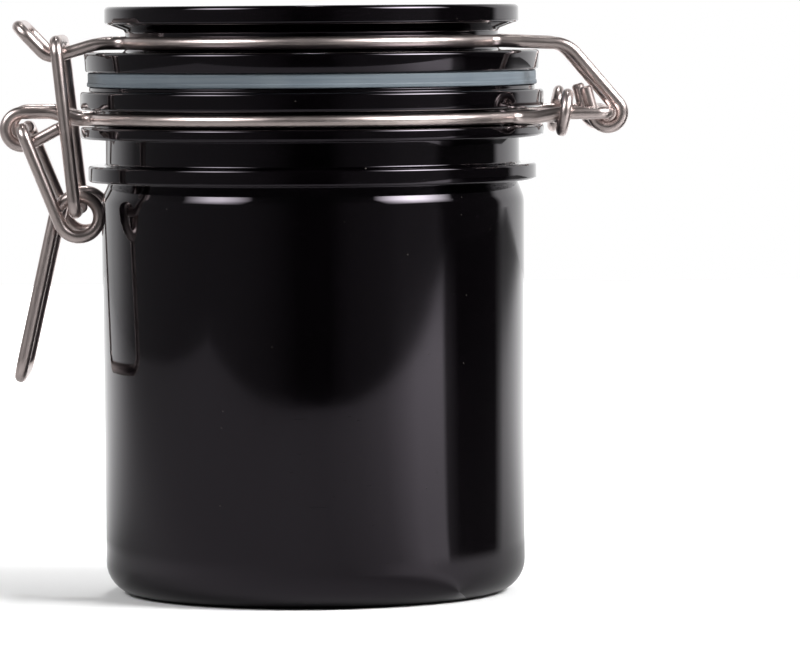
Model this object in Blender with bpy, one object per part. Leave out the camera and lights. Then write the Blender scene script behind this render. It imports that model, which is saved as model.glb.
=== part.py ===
"""Clip-top food canister: plastic jar, lid and sealing ring, held by bent steel wires.

The jar stands on z = 0 with its axis on +Z.  The latch is on the -X side and the hinge
on the +X side.  Dimensions are in millimetres and become metres when a mesh is made.
"""

import math

import bmesh
import bpy
from mathutils import Vector

MM = 0.001

# Jar
BODY_TOP_R = 42.6
BODY_FOOT_R = 42.3
BODY_INNER_R = 41.0
BASE_ROUND = 6.5
BASE_RECESS_R = 31.0
BASE_RECESS_DEPTH = 1.0
FLOOR_Z = 2.6
SHOULDER_LOW_Z = 79.4
SHOULDER_TOP_R = 41.13
SHOULDER_BEND_R = 3.0
INNER_SHOULDER_LOW_Z = 79.8
COLLAR_R = 45.1
COLLAR_LOW_Z = 83.1
COLLAR_TOP_Z = 86.4
NECK_R = 41.7
GROOVE_R = 43.7
LOWER_RING_LOW_Z = 91.8
LOWER_RING_TOP_Z = 94.2
UPPER_RING_LOW_Z = 97.6
UPPER_RING_TOP_Z = 101.3
RING_R = 46.6
RIM_R = 44.9
RIM_Z = 102.2
MOUTH_R = 39.7

# Lid and sealing ring
LID_TOP_Z = 118.3
LID_TOP_R = 41.7
LID_TOP_LOW_Z = 114.8
WAIST_TOP_Z = 113.4
WAIST_R = 37.6
FLANGE_TOP_Z = 109.1
FLANGE_TOP_R = 45.9
FLANGE_LOW_Z = 105.1
FLANGE_LOW_R = 45.6
PLUG_R = 38.6
PLUG_LOW_Z = 99.6
LID_RECESS_R = 35.2
LID_ROOF_Z = 115.6
GASKET_R = 45.3
GASKET_INNER_R = 38.95
GASKET_LOW_Z = 102.5
GASKET_TOP_Z = 104.8

# Wires
WIRE_R = 1.25
TIE_WIRE_R = 1.1
WIRE_SIDES = 8
WIRE_END_CHAMFER = 0.35
CORNER_STEP_DEG = 18.0
LOOP_STEP_DEG = 20.0
GROOVE_STEP_DEG = 7.0
GROOVE_BEND_R = 4.0
STRAND_BEND_R = 3.0

# Hinge: the neck wire's U loop is the bar, the lid wire's J hooks turn on it
HINGE_X = 58.7
HINGE_Z = 96.6
HINGE_LEG_Y = 21.8
HINGE_CORNER_R = 2.3
HINGE_LEG_RISE = (44.6, 48.6)
J_HOOK_Y = 17.6
J_HOOK_R = 2.9
J_TAIL_DIRECTION_DEG = 105.0
J_TAIL_LENGTH = 6.2

# Neck wire
NECK_WIRE_R = 45.3
NECK_WIRE_Z = 95.8
CURL_Y = 13.2
CURL_R = 3.3
CURL_TAIL_END = (-50.4, 94.18)
LATCH_STRAND_STEP = (-52.0, -46.8)

# Tie between the legs of the hinge loop
EYE_X = 50.0
EYE_Z = 96.75
EYE_R = 3.7
EYE_LEAN_DEG = 10.0
EYE_START_DEG = -48.0
EYE_TURN_DEG = 290.0
EYE_BEND_R = 1.8
TIE_LEG_Y = 16.5
TIE_BEND_R = 3.0

# Lid wire
LID_WIRE_R = 39.65
LID_WIRE_Z = 110.95
HOOK_Y = 14.3
HOOK_RAMP_X = -42.7
HOOK_RAMP_BEND_R = 12.0
HOOK_SADDLE = (-52.4, 108.05)
HOOK_SADDLE_BEND_R = 3.5
HOOK_TIP = (-58.4, 114.4)
HOOK_TIP_BEND_R = 3.0
LID_WIRE_DROP = (50.8, 110.35)
LID_WIRE_DROP_BEND_R = 6.0

# Lever
LEVER_PIVOT = (-57.75, 94.0)
LEVER_STUB_END_Y = 9.5
LEVER_LEG_Y = 17.9
LEVER_CORNER_R = 2.2
COIL_CENTRE = (-46.5, 76.6)
COIL_R = 4.0
COIL_EXIT_R = 4.86
COIL_EXIT_START_DEG = 80.0
HANDLE_DIRECTION_DEG = 257.3
HANDLE_LEG_Y = 15.0
HANDLE_END_Z = 44.6
HANDLE_CORNER_R = 4.0

# Link
LINK_STUB_OFFSET = (-0.65, 0.95)
LINK_STUB_END_Y = 11.5
LINK_FOOT_Y = 20.8
LINK_FOOT_BEND_R = 2.2
LINK_BAR = (-50.8, 111.42)
LINK_BAR_Y = 18.0
LINK_BAR_BEND_R = 3.0

LATHE_SEGMENTS = 48
SMALL_BEND_R = 1.4
SMOOTH_DEG = 35.0


def clear_scene():
    """Remove every object left from before."""
    for item in list(bpy.data.objects):
        bpy.data.objects.remove(item, do_unlink=True)


def plastic_material(name, color, roughness):
    """Plain plastic or rubber."""
    material = bpy.data.materials.new(name)
    material.use_nodes = True
    shader = material.node_tree.nodes["Principled BSDF"]
    shader.inputs["Base Color"].default_value = (*color, 1.0)
    shader.inputs["Roughness"].default_value = roughness
    return material


def steel_material(name):
    """Polished stainless wire."""
    material = plastic_material(name, (0.56, 0.53, 0.50), 0.2)
    material.node_tree.nodes["Principled BSDF"].inputs["Metallic"].default_value = 1.0
    return material


def at(side_point, y):
    """A point of the side view, given as (x, z), moved to this y."""
    return Vector((side_point[0], y, side_point[1]))


def corner_arc(before, corner, after, radius, step_deg):
    """Points of a bend of this radius between two straight runs; a small one is one chamfer."""
    to_before = (before - corner).normalized()
    to_after = (after - corner).normalized()
    opening = to_before.angle(to_after)
    if math.pi - opening < 0.02:
        return [corner]
    reach = radius / math.tan(opening / 2.0)
    centre = corner + (to_before + to_after).normalized() * (radius / math.sin(opening / 2.0))
    first = corner + to_before * reach - centre
    last = corner + to_after * reach - centre
    turn = math.pi - opening
    steps = 1 if radius < SMALL_BEND_R else max(2, math.ceil(math.degrees(turn) / step_deg))
    points = []
    for index in range(steps + 1):
        share = index / steps
        blend = first * math.sin((1.0 - share) * turn) + last * math.sin(share * turn)
        points.append(centre + blend / math.sin(turn))
    return points


def round_path(stops, step_deg):
    """Turn (point, bend radius) stops into a polyline; a zero radius keeps the point."""
    points = [stops[0][0]]
    for index in range(1, len(stops) - 1):
        corner, radius = stops[index]
        if radius > 0.0:
            before = stops[index - 1][0]
            after = stops[index + 1][0]
            points.extend(corner_arc(before, corner, after, radius, step_deg))
        else:
            points.append(corner)
    points.append(stops[-1][0])
    return points


def side_arc(centre, radius, start_deg, end_deg, y):
    """Stops on an arc in the XZ plane about a (x, z) centre."""
    steps = max(2, math.ceil(abs(end_deg - start_deg) / LOOP_STEP_DEG))
    stops = []
    for index in range(steps + 1):
        angle = math.radians(start_deg + (end_deg - start_deg) * index / steps)
        point = Vector((centre[0] + radius * math.cos(angle), y, centre[1] + radius * math.sin(angle)))
        stops.append((point, 0.0))
    return stops


def tangent_direction_deg(start, centre, radius, centre_side):
    """Direction of the line from start that touches a circle.

    centre_side is +1 when the circle lies to the left of the line and -1 when to the right.
    """
    along = Vector((centre[0] - start[0], centre[1] - start[1]))
    toward = math.degrees(math.atan2(along.y, along.x))
    direction = toward - centre_side * math.degrees(math.asin(radius / along.length))
    return (direction + 180.0) % 360.0 - 180.0


def groove_exit(groove_r, leg_y, bend_r, z):
    """Stops from the groove's circle, round a bend, onto a leg along +X at -leg_y.

    Returns the groove angle where the bend begins, and the bend's stops.
    """
    centre_y = -(leg_y + bend_r)
    centre_x = math.sqrt((groove_r + bend_r) ** 2 - centre_y ** 2)
    leave_deg = math.degrees(math.atan2(centre_y, centre_x))
    first_deg = leave_deg + 180.0
    steps = max(2, math.ceil((first_deg - 90.0) / CORNER_STEP_DEG))
    stops = []
    for index in range(1, steps + 1):
        angle = math.radians(first_deg + (90.0 - first_deg) * index / steps)
        x = centre_x + bend_r * math.cos(angle)
        y = centre_y + bend_r * math.sin(angle)
        stops.append((Vector((x, y, z)), 0.0))
    return leave_deg, stops


def groove_arc(groove_r, z, start_deg, end_deg):
    """Stops around the jar's axis at one height."""
    steps = max(2, math.ceil(abs(end_deg - start_deg) / GROOVE_STEP_DEG))
    stops = []
    for index in range(steps + 1):
        angle = math.radians(start_deg + (end_deg - start_deg) * index / steps)
        stops.append((Vector((groove_r * math.cos(angle), groove_r * math.sin(angle), z)), 0.0))
    return stops


def other_end(stops):
    """The same stops turned end for end."""
    return list(reversed(stops))


def across_x(stops):
    """The same stops mirrored to the other side of the YZ plane."""
    return [(Vector((-point.x, point.y, point.z)), radius) for point, radius in stops]


def with_far_half(stops):
    """Join a front half to its mirror image behind the XZ plane."""
    far = [(Vector((point.x, -point.y, point.z)), radius) for point, radius in reversed(stops)]
    return stops + far


def ring_frames(points):
    """One (tangent, side, up) frame per point, carried along without twist."""
    frames = []
    side = None
    for index, point in enumerate(points):
        ahead = points[min(index + 1, len(points) - 1)]
        behind = points[max(index - 1, 0)]
        tangent = (ahead - point).normalized() + (point - behind).normalized()
        tangent.normalize()
        if side is None:
            helper = Vector((0.0, 0.0, 1.0)) if abs(tangent.z) < 0.9 else Vector((0.0, 1.0, 0.0))
            side = tangent.cross(helper).normalized()
        side = (side - tangent * side.dot(tangent)).normalized()
        frames.append((tangent, side, tangent.cross(side)))
    return frames


def add_ring(mesh, centre, side, up, radius):
    """Vertices of one round section of a wire."""
    ring = []
    for index in range(WIRE_SIDES):
        angle = 2.0 * math.pi * index / WIRE_SIDES
        offset = side * (radius * math.cos(angle)) + up * (radius * math.sin(angle))
        ring.append(mesh.verts.new((centre + offset) * MM))
    return ring


def wire_mesh(name, points, radius):
    """Closed round bar along a polyline, with chamfered ends."""
    frames = ring_frames(points)
    sections = []
    chamfer_r = radius - WIRE_END_CHAMFER
    sections.append((points[0], frames[0], chamfer_r))
    sections.append((points[0] + frames[0][0] * WIRE_END_CHAMFER, frames[0], radius))
    for point, frame in zip(points[1:-1], frames[1:-1]):
        sections.append((point, frame, radius))
    sections.append((points[-1] - frames[-1][0] * WIRE_END_CHAMFER, frames[-1], radius))
    sections.append((points[-1], frames[-1], chamfer_r))
    mesh = bmesh.new()
    rings = [add_ring(mesh, point, frame[1], frame[2], r) for point, frame, r in sections]
    for low, high in zip(rings, rings[1:]):
        for index in range(WIRE_SIDES):
            after = (index + 1) % WIRE_SIDES
            mesh.faces.new((low[index], low[after], high[after], high[index]))
    mesh.faces.new(list(reversed(rings[0])))
    mesh.faces.new(rings[-1])
    return finish_mesh(name, mesh)


def lathe_mesh(name, profile, closed):
    """Turn a (radius, z) profile about the Z axis; open profiles start and end on the axis."""
    mesh = bmesh.new()
    rings = []
    for radius, z in profile:
        if radius < 1e-6:
            rings.append([mesh.verts.new((0.0, 0.0, z * MM))])
            continue
        ring = []
        for index in range(LATHE_SEGMENTS):
            angle = 2.0 * math.pi * index / LATHE_SEGMENTS
            ring.append(mesh.verts.new((radius * math.cos(angle) * MM, radius * math.sin(angle) * MM, z * MM)))
        rings.append(ring)
    pairs = list(zip(rings, rings[1:]))
    if closed:
        pairs.append((rings[-1], rings[0]))
    for first, second in pairs:
        for index in range(LATHE_SEGMENTS):
            after = (index + 1) % LATHE_SEGMENTS
            if len(first) == 1:
                mesh.faces.new((first[0], second[index], second[after]))
            elif len(second) == 1:
                mesh.faces.new((first[index], second[0], first[after]))
            else:
                mesh.faces.new((first[index], second[index], second[after], first[after]))
    return finish_mesh(name, mesh)


def finish_mesh(name, mesh):
    """Make an object of a bmesh, facing outward and smooth where it is round."""
    bmesh.ops.recalc_face_normals(mesh, faces=mesh.faces)
    data = bpy.data.meshes.new(name)
    mesh.to_mesh(data)
    mesh.free()
    item = bpy.data.objects.new(name, data)
    bpy.context.scene.collection.objects.link(item)
    data.shade_smooth()
    data.set_sharp_from_angle(angle=math.radians(SMOOTH_DEG))
    return item


def turned_profile(corners, step_deg):
    """Round the corners of a turned outline; each entry is (radius, z, corner radius)."""
    stops = [(Vector((r, 0.0, z)), bend) for r, z, bend in corners]
    return [(point.x, point.z) for point in round_path(stops, step_deg)]


def make_jar():
    """Jar with base recess, shoulder, collar and the two rings that guide the neck wire."""
    corners = [
        (0.0, BASE_RECESS_DEPTH, 0.0),
        (BASE_RECESS_R - BASE_RECESS_DEPTH, BASE_RECESS_DEPTH, 0.0),
        (BASE_RECESS_R, 0.0, 0.0),
        (BODY_FOOT_R, 0.0, BASE_ROUND),
        (BODY_TOP_R, SHOULDER_LOW_Z, SHOULDER_BEND_R),
        (SHOULDER_TOP_R, COLLAR_LOW_Z, 0.0),
        (COLLAR_R, COLLAR_LOW_Z, 0.5),
        (COLLAR_R, COLLAR_TOP_Z, 0.5),
        (NECK_R, COLLAR_TOP_Z, 0.0),
        (NECK_R, LOWER_RING_LOW_Z, 0.0),
        (RING_R, LOWER_RING_LOW_Z, 0.5),
        (RING_R, LOWER_RING_TOP_Z, 0.5),
        (GROOVE_R, LOWER_RING_TOP_Z, 0.0),
        (GROOVE_R, UPPER_RING_LOW_Z, 0.0),
        (RING_R, UPPER_RING_LOW_Z, 0.5),
        (RING_R, UPPER_RING_TOP_Z, 0.5),
        (RIM_R, UPPER_RING_TOP_Z, 0.0),
        (RIM_R, RIM_Z, 0.0),
        (MOUTH_R, RIM_Z, 0.4),
        (MOUTH_R, COLLAR_LOW_Z, 1.0),
        (BODY_INNER_R, INNER_SHOULDER_LOW_Z, 1.0),
        (BODY_INNER_R, FLOOR_Z, BASE_ROUND - 2.0),
        (0.0, FLOOR_Z, 0.0),
    ]
    jar = lathe_mesh("jar_body", turned_profile(corners, 30.0), False)
    jar.data.materials.append(plastic_material("jar_plastic", (0.012, 0.011, 0.012), 0.08))
    return jar


def make_lid():
    """Lid with a top disc, a waist for the wire, a flange and a hollow plug."""
    corners = [
        (0.0, LID_ROOF_Z, 0.0),
        (LID_RECESS_R, LID_ROOF_Z, 1.5),
        (LID_RECESS_R, PLUG_LOW_Z, 0.0),
        (PLUG_R, PLUG_LOW_Z, 0.6),
        (PLUG_R, FLANGE_LOW_Z, 0.0),
        (FLANGE_LOW_R, FLANGE_LOW_Z, 0.5),
        (FLANGE_TOP_R, FLANGE_TOP_Z, 0.6),
        (WAIST_R, FLANGE_TOP_Z, 0.8),
        (WAIST_R, WAIST_TOP_Z, 0.8),
        (LID_TOP_R, LID_TOP_LOW_Z, 0.6),
        (LID_TOP_R, LID_TOP_Z, 0.9),
        (0.0, LID_TOP_Z, 0.0),
    ]
    lid = lathe_mesh("lid", turned_profile(corners, 45.0), False)
    lid.data.materials.append(plastic_material("lid_plastic", (0.012, 0.011, 0.012), 0.08))
    return lid


def make_gasket():
    """Flat silicone ring around the lid's plug."""
    bevel = 0.4
    profile = [
        (GASKET_INNER_R, GASKET_LOW_Z),
        (GASKET_R - bevel, GASKET_LOW_Z),
        (GASKET_R, GASKET_LOW_Z + bevel),
        (GASKET_R, GASKET_TOP_Z - bevel),
        (GASKET_R - bevel, GASKET_TOP_Z),
        (GASKET_INNER_R, GASKET_TOP_Z),
    ]
    gasket = lathe_mesh("gasket", profile, True)
    gasket.data.materials.append(plastic_material("gasket_silicone", (0.15, 0.19, 0.21), 0.6))
    return gasket


def make_neck_wire():
    """Wire in the jar's groove, with two curls for the lever and the U loop of the hinge."""
    y = -CURL_Y
    entry_deg = tangent_direction_deg(CURL_TAIL_END, LEVER_PIVOT, CURL_R, -1)
    strand_low = (LATCH_STRAND_STEP[1], NECK_WIRE_Z)
    strand_high = (LATCH_STRAND_STEP[0], LEVER_PIVOT[1] + CURL_R)
    stops = [(at(CURL_TAIL_END, y), 0.0)]
    stops += side_arc(LEVER_PIVOT, CURL_R, entry_deg + 90.0, -270.0, y)
    stops.append((at(strand_high, y), STRAND_BEND_R))
    stops.append((at(strand_low, y), STRAND_BEND_R))
    latch_deg, latch_bend = groove_exit(NECK_WIRE_R, CURL_Y, GROOVE_BEND_R, NECK_WIRE_Z)
    hinge_deg, hinge_bend = groove_exit(NECK_WIRE_R, HINGE_LEG_Y, GROOVE_BEND_R, NECK_WIRE_Z)
    stops += other_end(across_x(latch_bend))
    stops += groove_arc(NECK_WIRE_R, NECK_WIRE_Z, -180.0 - latch_deg, hinge_deg)
    stops += hinge_bend
    stops.append((Vector((HINGE_LEG_RISE[0], -HINGE_LEG_Y, NECK_WIRE_Z)), STRAND_BEND_R))
    stops.append((Vector((HINGE_LEG_RISE[1], -HINGE_LEG_Y, HINGE_Z)), STRAND_BEND_R))
    stops.append((Vector((HINGE_X, -HINGE_LEG_Y, HINGE_Z)), HINGE_CORNER_R))
    points = round_path(with_far_half(stops), CORNER_STEP_DEG)
    wire = wire_mesh("neck_wire", points, WIRE_R)
    wire.data.materials.append(steel_material("neck_wire_steel"))
    return wire


def eye_point(turn_deg):
    """Point on the front eye of the tie; 0 degrees is its side nearest the jar's middle plane."""
    angle = math.radians(turn_deg)
    lean = math.radians(EYE_LEAN_DEG)
    upward = EYE_R * math.sin(angle)
    x = EYE_X + upward * math.sin(lean)
    y = -HINGE_LEG_Y + EYE_R * math.cos(angle)
    return Vector((x, y, EYE_Z + upward * math.cos(lean)))


def make_neck_tie():
    """Short wire behind the groove whose ends are eyes around the hinge loop's legs."""
    steps = math.ceil(EYE_TURN_DEG / LOOP_STEP_DEG)
    stops = []
    for index in range(steps + 1):
        turn_deg = EYE_START_DEG + EYE_TURN_DEG * (index / steps - 1.0)
        stops.append((eye_point(turn_deg), 0.0))
    leaving = (eye_point(EYE_START_DEG) - eye_point(EYE_START_DEG - 2.0)).normalized()
    corner = eye_point(EYE_START_DEG) + leaving * (EYE_BEND_R + 0.2)
    corner.z = NECK_WIRE_Z
    stops.append((corner, EYE_BEND_R))
    leave_deg, bend = groove_exit(NECK_WIRE_R, TIE_LEG_Y, TIE_BEND_R, NECK_WIRE_Z)
    stops += other_end(bend)
    stops += groove_arc(NECK_WIRE_R, NECK_WIRE_Z, leave_deg, -GROOVE_STEP_DEG / 2.0)
    points = round_path(with_far_half(stops), CORNER_STEP_DEG)
    wire = wire_mesh("neck_tie", points, TIE_WIRE_R)
    wire.data.materials.append(steel_material("neck_tie_steel"))
    return wire


def make_lid_wire():
    """Wire around the lid's waist, with two J hooks and the latch hook."""
    y = -J_HOOK_Y
    hinge = (HINGE_X, HINGE_Z)
    drop_deg = tangent_direction_deg(LID_WIRE_DROP, hinge, J_HOOK_R, -1)
    first_deg = drop_deg + 90.0
    last_deg = J_TAIL_DIRECTION_DEG + 90.0 - 360.0
    hook = side_arc(hinge, J_HOOK_R, first_deg, last_deg, y)
    tail_angle = math.radians(J_TAIL_DIRECTION_DEG)
    tail = Vector((math.cos(tail_angle), 0.0, math.sin(tail_angle))) * J_TAIL_LENGTH
    stops = [(hook[-1][0] + tail, 0.0)]
    stops += other_end(hook)
    stops.append((at(LID_WIRE_DROP, y), LID_WIRE_DROP_BEND_R))
    hinge_deg, hinge_bend = groove_exit(LID_WIRE_R, J_HOOK_Y, GROOVE_BEND_R, LID_WIRE_Z)
    latch_deg, latch_bend = groove_exit(LID_WIRE_R, HOOK_Y, GROOVE_BEND_R, LID_WIRE_Z)
    stops += other_end(hinge_bend)
    stops += groove_arc(LID_WIRE_R, LID_WIRE_Z, hinge_deg, -180.0 - latch_deg)
    stops += across_x(latch_bend)
    stops.append((Vector((HOOK_RAMP_X, -HOOK_Y, LID_WIRE_Z)), HOOK_RAMP_BEND_R))
    stops.append((at(HOOK_SADDLE, -HOOK_Y), HOOK_SADDLE_BEND_R))
    stops.append((at(HOOK_TIP, -HOOK_Y), HOOK_TIP_BEND_R))
    points = round_path(with_far_half(stops), CORNER_STEP_DEG)
    wire = wire_mesh("lid_wire", points, WIRE_R)
    wire.data.materials.append(steel_material("lid_wire_steel"))
    return wire


def coil_stops():
    """Stops of the front coil, from the leg that comes down to the handle's leg."""
    entry_deg = tangent_direction_deg(LEVER_PIVOT, COIL_CENTRE, COIL_R, 1) - 90.0
    exit_deg = HANDLE_DIRECTION_DEG - 90.0
    turn = math.radians(COIL_EXIT_START_DEG)
    grow = COIL_EXIT_R - COIL_R
    exit_centre = (COIL_CENTRE[0] - grow * math.cos(turn), COIL_CENTRE[1] - grow * math.sin(turn))
    stops = side_arc(COIL_CENTRE, COIL_R, entry_deg, COIL_EXIT_START_DEG, 0.0)
    stops += side_arc(exit_centre, COIL_EXIT_R, COIL_EXIT_START_DEG, exit_deg, 0.0)[1:]
    for index, (point, _) in enumerate(stops):
        share = min(1.0, max(0.0, (index / (len(stops) - 1) - 0.08) / 0.84))
        ease = share * share * (3.0 - 2.0 * share)
        point.y = -LEVER_LEG_Y + (LEVER_LEG_Y - HANDLE_LEG_Y) * ease
    return stops


def make_lever():
    """Lever wire: stubs in the neck wire's curls, a coil on each side and the thumb loop."""
    coil = coil_stops()
    exit_point = coil[-1][0]
    slope = 1.0 / math.tan(math.radians(HANDLE_DIRECTION_DEG))
    end_x = exit_point.x + (HANDLE_END_Z - exit_point.z) * slope
    stops = [
        (at(LEVER_PIVOT, -LEVER_STUB_END_Y), 0.0),
        (at(LEVER_PIVOT, -LEVER_LEG_Y), LEVER_CORNER_R),
    ]
    stops += coil
    stops.append((Vector((end_x, -HANDLE_LEG_Y, HANDLE_END_Z)), HANDLE_CORNER_R))
    points = round_path(with_far_half(stops), CORNER_STEP_DEG)
    wire = wire_mesh("clasp_lever", points, WIRE_R)
    wire.data.materials.append(steel_material("clasp_lever_steel"))
    return wire


def link_axis():
    """Side view place of the link's stubs, which bear off-centre in the coils."""
    return (COIL_CENTRE[0] + LINK_STUB_OFFSET[0], COIL_CENTRE[1] + LINK_STUB_OFFSET[1])


def make_link():
    """Link wire: stubs in the lever's coils and a bar over the lid wire's hook."""
    foot = link_axis()
    stops = [
        (at(foot, -LINK_STUB_END_Y), 0.0),
        (at(foot, -LINK_FOOT_Y), LINK_FOOT_BEND_R),
        (at(LINK_BAR, -LINK_BAR_Y), LINK_BAR_BEND_R),
    ]
    points = round_path(with_far_half(stops), CORNER_STEP_DEG)
    wire = wire_mesh("clasp_link", points, WIRE_R)
    wire.data.materials.append(steel_material("clasp_link_steel"))
    return wire


def joint_empty(name, side_point, parent):
    """Empty on a joint's axis, which runs along Y."""
    empty = bpy.data.objects.new(name, None)
    bpy.context.scene.collection.objects.link(empty)
    place = at(side_point, 0.0) * MM
    if parent is not None:
        empty.parent = parent
        place = place - parent.location
    empty.location = place
    return empty


def hang(item, empty, side_point):
    """Parent a piece to its joint, keeping it where it was made."""
    item.parent = empty
    item.location = at(side_point, 0.0) * -MM


def main():
    """Build the canister closed and latched."""
    clear_scene()
    make_jar()
    make_neck_wire()
    make_neck_tie()
    hinge = (HINGE_X, HINGE_Z)
    lid_hinge = joint_empty("lid_hinge", hinge, None)
    for item in (make_lid(), make_gasket(), make_lid_wire()):
        hang(item, lid_hinge, hinge)
    lever_pivot = joint_empty("lever_pivot", LEVER_PIVOT, None)
    hang(make_lever(), lever_pivot, LEVER_PIVOT)
    link_point = link_axis()
    link_pivot = joint_empty("link_pivot", link_point, lever_pivot)
    hang(make_link(), link_pivot, link_point)


main()
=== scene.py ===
import math

import bmesh
import bpy
from mathutils import Matrix, Vector


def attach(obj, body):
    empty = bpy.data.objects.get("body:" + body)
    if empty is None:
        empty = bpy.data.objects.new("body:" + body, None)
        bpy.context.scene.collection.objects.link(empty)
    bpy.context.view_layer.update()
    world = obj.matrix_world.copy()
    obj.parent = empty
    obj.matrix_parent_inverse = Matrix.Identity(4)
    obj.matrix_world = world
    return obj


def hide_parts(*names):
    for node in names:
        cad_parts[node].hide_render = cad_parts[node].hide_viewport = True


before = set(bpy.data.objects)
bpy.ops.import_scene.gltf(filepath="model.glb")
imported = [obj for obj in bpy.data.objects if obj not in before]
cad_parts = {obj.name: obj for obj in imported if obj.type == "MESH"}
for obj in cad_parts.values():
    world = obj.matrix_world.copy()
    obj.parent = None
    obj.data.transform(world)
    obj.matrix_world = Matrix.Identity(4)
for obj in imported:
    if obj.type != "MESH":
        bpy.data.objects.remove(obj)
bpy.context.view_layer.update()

MM = 0.001

# Jar, in millimetres
BODY_TOP_R = 42.6
BODY_FOOT_R = 42.3
BODY_INNER_R = 41.0
BASE_ROUND = 6.5
BASE_RECESS_R = 31.0
BASE_RECESS_DEPTH = 1.0
GATE_R = 2.6
GATE_DEPTH = 0.35
FLOOR_Z = 2.6
SHOULDER_LOW_Z = 79.4
SHOULDER_TOP_R = 41.13
SHOULDER_BEND_R = 5.0
INNER_SHOULDER_LOW_Z = 79.8
COLLAR_R = 45.1
COLLAR_LOW_Z = 83.1
COLLAR_TOP_Z = 86.4
NECK_R = 41.7
GROOVE_R = 43.7
LOWER_RING_LOW_Z = 91.8
LOWER_RING_TOP_Z = 94.2
UPPER_RING_LOW_Z = 97.6
UPPER_RING_TOP_Z = 101.3
RING_R = 46.6
RIM_R = 44.9
RIM_Z = 102.2
MOUTH_R = 39.7
OUTER_FILLET = 0.6
INNER_FILLET = 0.3
GATE_FILLET = 0.15
BASE_RECESS_FILLET = 0.5
COLLAR_LOW_FILLET = 0.5
MOUTH_FILLET = 0.4
INSIDE_FILLET = 1.0
FLOOR_ROUND = 4.5

# Lid and sealing ring
LID_TOP_Z = 118.3
LID_TOP_R = 41.7
LID_TOP_LOW_Z = 114.8
WAIST_TOP_Z = 113.4
WAIST_R = 37.6
FLANGE_TOP_Z = 109.1
FLANGE_TOP_R = 45.9
FLANGE_LOW_Z = 105.1
FLANGE_LOW_R = 45.6
PLUG_R = 38.6
PLUG_LOW_Z = 99.6
LID_RECESS_R = 35.2
LID_ROOF_Z = 115.6
LID_RECESS_FILLET = 1.5
PLUG_LOW_FILLET = 0.4
PLUG_ROOT_FILLET = 0.2
FLANGE_LOW_FILLET = 0.5
FLANGE_TOP_FILLET = 0.7
WAIST_TOP_FILLET = 0.8
LID_TOP_FILLET = 0.9
GASKET_R = 45.3
GASKET_INNER_R = 38.95
GASKET_LOW_Z = 102.23
GASKET_TOP_Z = 105.07
GASKET_LIP = 0.18
GASKET_LIP_LOW = 0.7
GASKET_LIP_HIGH = 0.9
GASKET_FILLET = 0.2
GASKET_LOW_FILLET = 0.25
GASKET_STEP_FILLET = 0.1
GASKET_TOP_FILLET = 0.35
GASKET_SEAM_INSET = 1.0

# Wires
WIRE_R = 1.25
TIE_WIRE_R = 1.1
WIRE_SIDES = 24
WIRE_END_CHAMFER = 0.35
BEND_STEP_DEG = 6.0
GROOVE_STEP_DEG = 2.0
GROOVE_BEND_R = 4.0
STRAND_BEND_R = 3.0
HINGE = (58.7, 96.6)
HINGE_LEG_Y = 21.8
HINGE_CORNER_R = 2.3
HINGE_LEG_RISE = (44.6, 48.6)
J_HOOK_Y = 17.6
J_HOOK_R = 2.9
J_TAIL_DIRECTION_DEG = 105.0
J_TAIL_LENGTH = 6.2
NECK_WIRE_R = 45.3
NECK_WIRE_Z = 95.8
CURL_Y = 13.2
CURL_R = 3.3
CURL_TAIL_END = (-50.4, 94.18)
LATCH_STRAND_STEP = (-52.0, -46.8)
EYE_X = 50.0
EYE_Z = 96.75
EYE_R = 3.7
EYE_LEAN_DEG = 10.0
EYE_START_DEG = -48.0
EYE_TURN_DEG = 290.0
EYE_BEND_R = 1.8
EYE_LEAD = 0.2
EYE_TANGENT_STEP_DEG = 2.0
TIE_LEG_Y = 16.5
TIE_BEND_R = 3.0
LID_WIRE_R = 39.65
LID_WIRE_Z = 110.95
HOOK_Y = 14.3
HOOK_RAMP_X = -42.7
HOOK_RAMP_BEND_R = 12.0
HOOK_SADDLE = (-52.4, 108.05)
HOOK_SADDLE_BEND_R = 3.5
HOOK_TIP = (-58.4, 114.4)
HOOK_TIP_BEND_R = 3.0
LID_WIRE_DROP = (50.8, 110.35)
LID_WIRE_DROP_BEND_R = 6.0
LEVER_PIVOT = (-57.75, 94.0)
LEVER_STUB_END_Y = 9.5
LEVER_LEG_Y = 17.9
LEVER_CORNER_R = 2.2
COIL_CENTRE = (-46.5, 76.6)
COIL_R = 4.0
COIL_EXIT_R = 4.86
COIL_EXIT_START_DEG = 80.0
COIL_DRIFT_START = 0.08
COIL_DRIFT_SPAN = 0.84
HANDLE_DIRECTION_DEG = 257.3
HANDLE_LEG_Y = 15.0
HANDLE_END_Z = 44.6
HANDLE_CORNER_R = 4.0
LINK_STUB_OFFSET = (-0.65, 0.95)
LINK_STUB_END_Y = 11.5
LINK_FOOT_Y = 20.8
LINK_FOOT_BEND_R = 2.2
LINK_BAR = (-50.8, 111.42)
LINK_BAR_Y = 18.0
LINK_BAR_BEND_R = 3.0

# Mesh building, in millimetres where lengths
LATHE_SEGMENTS = 256
PROFILE_STEP_DEG = 10.0
SMOOTH_DEG = 32.0
LONG_RUN = 8.0
RUN_SUPPORT = 0.5
STRAIGHT_ENOUGH = 0.02
CLOSEST_POINTS = 0.02
NEARLY_UPRIGHT = 0.9
ON_AXIS_R = 1e-6

# Camera, in metres and degrees
CAMERA_PLACE = (0.0, -1.2, 0.1194)
CAMERA_YAW_DEG = 0.83
CAMERA_PITCH_DEG = 3.15
CAMERA_ROLL_DEG = 0.42
CAMERA_LENS = 267.8
CAMERA_SENSOR = 36.0
CAMERA_CLIP = (0.01, 50.0)

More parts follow.
